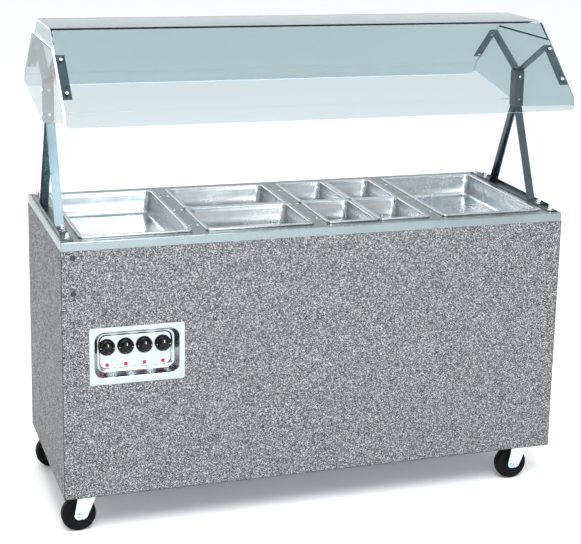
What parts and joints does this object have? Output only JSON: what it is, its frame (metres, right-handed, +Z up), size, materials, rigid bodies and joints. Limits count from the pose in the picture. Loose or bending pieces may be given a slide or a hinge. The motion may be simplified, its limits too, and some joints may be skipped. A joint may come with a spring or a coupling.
{
  "type": "hot food steam table",
  "caption": "Portable electric hot food table: closed speckled cabinet on swivel casters, recessed knob panel, lift-out pans and a two-sided clear breath guard on end brackets.",
  "frame": {"origin": "on the floor, under the plan centre of the cabinet", "axes": "+X along the counter to the right seen from the control side, +Y from the control side to the far side, +Z up"},
  "size_m": [1.525, 0.732, 1.438],
  "materials": {
    "counter_steel": "satin brushed stainless steel",
    "speckled_laminate": "grey granite-speckle vinyl laminate on steel",
    "painted_frame": "grey enamel",
    "galvanised_sheet": "galvanised sheet",
    "zinc_fasteners": "bright zinc plate",
    "black_plastic": "black moulded plastic",
    "grey_nylon": "grey nylon",
    "element_sheath": "heat-darkened nickel alloy sheath",
    "panel_steel": "satin stamped stainless steel",
    "switch_body": "dark phenolic",
    "red_lens": "red translucent lens",
    "clear_acrylic": "clear acrylic with a faint blue-grey cast",
    "bracket_steel": "satin stainless steel bar",
    "bright_fasteners": "polished stainless steel",
    "caster_zinc": "zinc plate",
    "well_steel": "galvanised steel, heat dulled",
    "shaft_brass": "machined brass",
    "knob_phenolic": "black phenolic",
    "pan_steel": "bright satin stainless steel",
    "wheel_rubber": "black rubber"
  },
  "bodies": {
    "cabinet": {"counter_top": "counter_steel", "front_panel": "speckled_laminate", "rear_panel": "speckled_laminate", "left_end_panel": "speckled_laminate", "right_end_panel": "speckled_laminate", "cabinet_frame": "painted_frame", "floor_pan": "galvanised_sheet", "panel_screws": "zinc_fasteners", "front_hole_plugs": "black_plastic", "cord_gland": "grey_nylon", "well_1": "well_steel", "well_2": "well_steel", "well_3": "well_steel", "well_4": "well_steel", "heating_elements": "element_sheath", "adapter_bars": "pan_steel", "wire_duct": "galvanised_sheet", "control_box": "galvanised_sheet", "control_recess": "panel_steel", "infinite_switches": "switch_body", "lamp_holders": "switch_body", "indicator_lenses": "red_lens", "guard_shield": "clear_acrylic", "guard_bases": "bracket_steel", "guard_legs": "bracket_steel", "guard_posts": "bracket_steel", "guard_arms": "bracket_steel", "guard_screws": "bright_fasteners", "guard_nuts": "bright_fasteners", "caster_plates": "caster_zinc", "caster_bolts": "zinc_fasteners"},
    "full_pan_left": {"full_pan_left": "pan_steel"},
    "half_pan_front": {"half_pan_front": "pan_steel"},
    "half_pan_rear": {"half_pan_rear": "pan_steel"},
    "full_pan_right": {"full_pan_right": "pan_steel"},
    "quarter_pan_front_left": {"quarter_pan_front_left": "pan_steel"},
    "quarter_pan_front_right": {"quarter_pan_front_right": "pan_steel"},
    "quarter_pan_rear_left": {"quarter_pan_rear_left": "pan_steel"},
    "quarter_pan_rear_right": {"quarter_pan_rear_right": "pan_steel"},
    "knob_1": {"knob_1": "knob_phenolic", "switch_shaft_1": "shaft_brass"},
    "knob_2": {"knob_2": "knob_phenolic", "switch_shaft_2": "shaft_brass"},
    "knob_3": {"knob_3": "knob_phenolic", "switch_shaft_3": "shaft_brass"},
    "knob_4": {"knob_4": "knob_phenolic", "switch_shaft_4": "shaft_brass"},
    "fork_1": {"caster_fork_1": "caster_zinc", "caster_axle_1": "zinc_fasteners"},
    "wheel_1": {"caster_wheel_1": "wheel_rubber"},
    "fork_2": {"caster_fork_2": "caster_zinc", "caster_axle_2": "zinc_fasteners"},
    "wheel_2": {"caster_wheel_2": "wheel_rubber"},
    "fork_3": {"caster_fork_3": "caster_zinc", "caster_axle_3": "zinc_fasteners"},
    "wheel_3": {"caster_wheel_3": "wheel_rubber"},
    "fork_4": {"caster_fork_4": "caster_zinc", "caster_axle_4": "zinc_fasteners"},
    "wheel_4": {"caster_wheel_4": "wheel_rubber"}
  },
  "joints": [
    {"name": "full_pan_left_lift", "type": "slide", "parent": "cabinet", "child": "full_pan_left", "axis": [0, 0, 1], "range_m": [0, 0.16]},
    {"name": "half_pan_front_lift", "type": "slide", "parent": "cabinet", "child": "half_pan_front", "axis": [0, 0, 1], "range_m": [0, 0.16]},
    {"name": "half_pan_rear_lift", "type": "slide", "parent": "cabinet", "child": "half_pan_rear", "axis": [0, 0, 1], "range_m": [0, 0.16]},
    {"name": "full_pan_right_lift", "type": "slide", "parent": "cabinet", "child": "full_pan_right", "axis": [0, 0, 1], "range_m": [0, 0.16]},
    {"name": "quarter_pan_front_left_lift", "type": "slide", "parent": "cabinet", "child": "quarter_pan_front_left", "axis": [0, 0, 1], "range_m": [0, 0.16]},
    {"name": "quarter_pan_front_right_lift", "type": "slide", "parent": "cabinet", "child": "quarter_pan_front_right", "axis": [0, 0, 1], "range_m": [0, 0.16]},
    {"name": "quarter_pan_rear_left_lift", "type": "slide", "parent": "cabinet", "child": "quarter_pan_rear_left", "axis": [0, 0, 1], "range_m": [0, 0.16]},
    {"name": "quarter_pan_rear_right_lift", "type": "slide", "parent": "cabinet", "child": "quarter_pan_rear_right", "axis": [0, 0, 1], "range_m": [0, 0.16]},
    {"name": "knob_1_turn", "type": "hinge", "parent": "cabinet", "child": "knob_1", "pos_m": [-0.6324, -0.2762, 0.557], "axis": [0, -1, 0], "continuous": true},
    {"name": "knob_2_turn", "type": "hinge", "parent": "cabinet", "child": "knob_2", "pos_m": [-0.5788, -0.2762, 0.557], "axis": [0, -1, 0], "continuous": true},
    {"name": "knob_3_turn", "type": "hinge", "parent": "cabinet", "child": "knob_3", "pos_m": [-0.5252, -0.2762, 0.557], "axis": [0, -1, 0], "continuous": true},
    {"name": "knob_4_turn", "type": "hinge", "parent": "cabinet", "child": "knob_4", "pos_m": [-0.4716, -0.2762, 0.557], "axis": [0, -1, 0], "continuous": true},
    {"name": "caster_1_swivel", "type": "hinge", "parent": "cabinet", "child": "fork_1", "pos_m": [-0.688, -0.242, 0.114], "axis": [0, 0, 1], "continuous": true},
    {"name": "caster_1_roll", "type": "hinge", "parent": "fork_1", "child": "wheel_1", "pos_m": [-0.713, -0.242, 0.05], "axis": [0, 1, 0], "continuous": true},
    {"name": "caster_2_swivel", "type": "hinge", "parent": "cabinet", "child": "fork_2", "pos_m": [0.688, -0.242, 0.114], "axis": [0, 0, 1], "continuous": true},
    {"name": "caster_2_roll", "type": "hinge", "parent": "fork_2", "child": "wheel_2", "pos_m": [0.663, -0.242, 0.05], "axis": [0, 1, 0], "continuous": true},
    {"name": "caster_3_swivel", "type": "hinge", "parent": "cabinet", "child": "fork_3", "pos_m": [-0.688, 0.242, 0.114], "axis": [0, 0, 1], "continuous": true},
    {"name": "caster_3_roll", "type": "hinge", "parent": "fork_3", "child": "wheel_3", "pos_m": [-0.713, 0.242, 0.05], "axis": [0, 1, 0], "continuous": true},
    {"name": "caster_4_swivel", "type": "hinge", "parent": "cabinet", "child": "fork_4", "pos_m": [0.688, 0.242, 0.114], "axis": [0, 0, 1], "continuous": true},
    {"name": "caster_4_roll", "type": "hinge", "parent": "fork_4", "child": "wheel_4", "pos_m": [0.663, 0.242, 0.05], "axis": [0, 1, 0], "continuous": true}
  ]
}
